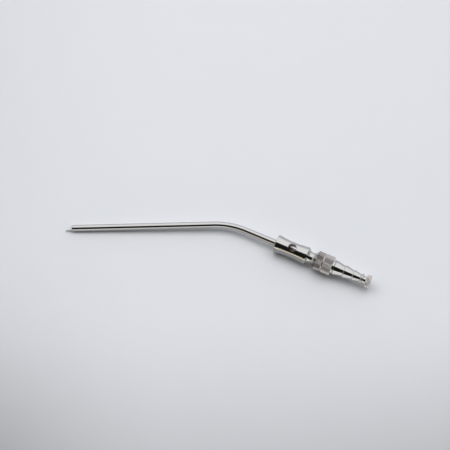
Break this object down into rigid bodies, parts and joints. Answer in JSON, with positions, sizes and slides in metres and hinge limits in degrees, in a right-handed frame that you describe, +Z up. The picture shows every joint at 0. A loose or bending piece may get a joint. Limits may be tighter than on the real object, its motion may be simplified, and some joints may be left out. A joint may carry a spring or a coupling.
{
  "type": "surgical aspirator tube",
  "caption": "Angled stainless suction tube with a finger-vent handle, a screw-on barbed hose connector and a stylet that slides out of the air way.",
  "frame": {"origin": "centre of the bounding box on the table that the instrument lies on", "axes": "+X along the handle from the tip end towards the hose end, tipped up by under one degree; +Z up, the vent facing up; the tube bends towards -Y"},
  "size_m": [0.1858, 0.0506, 0.0122],
  "materials": {
    "tube_steel": "bright drawn and polished stainless steel",
    "handle_steel": "polished stainless steel with a knurled ring",
    "connector_steel": "polished stainless steel with a knurled ring",
    "stylet_steel": "polished stainless steel, matt knurled knob",
    "wire_steel": "drawn spring steel wire",
    "silver_braze": "smooth silver braze",
    "seal_rubber": "black rubber"
  },
  "bodies": {
    "handle": {"handle_body": "handle_steel", "tube_bush": "handle_steel", "tube_braze": "silver_braze", "suction_tube": "tube_steel"},
    "seal": {"connector_seal": "seal_rubber"},
    "connector": {"hose_connector": "connector_steel"},
    "stylet": {"stylet_head": "stylet_steel", "stylet_braze": "silver_braze", "stylet_wire": "wire_steel"}
  },
  "joints": [
    {"name": "connector_travel", "type": "slide", "parent": "handle", "child": "seal", "axis": [0.9999, 0, 0.0168], "range_m": [0, 0.00225]},
    {"name": "connector_turn", "type": "hinge", "parent": "seal", "child": "connector", "pos_m": [0.06176, 0.01933, 0.00607], "axis": [0.9999, 0, 0.0168], "range_deg": [0, 1080]},
    {"name": "stylet_slide", "type": "slide", "parent": "seal", "child": "stylet", "axis": [0.9999, 0, 0.0168], "range_m": [0, 0.195], "deforming": ["stylet_wire"]}
  ],
  "couplings": [
    {"joint": "connector_travel", "follows": "connector_turn", "m_per_rad": 0.00011937}
  ]
}
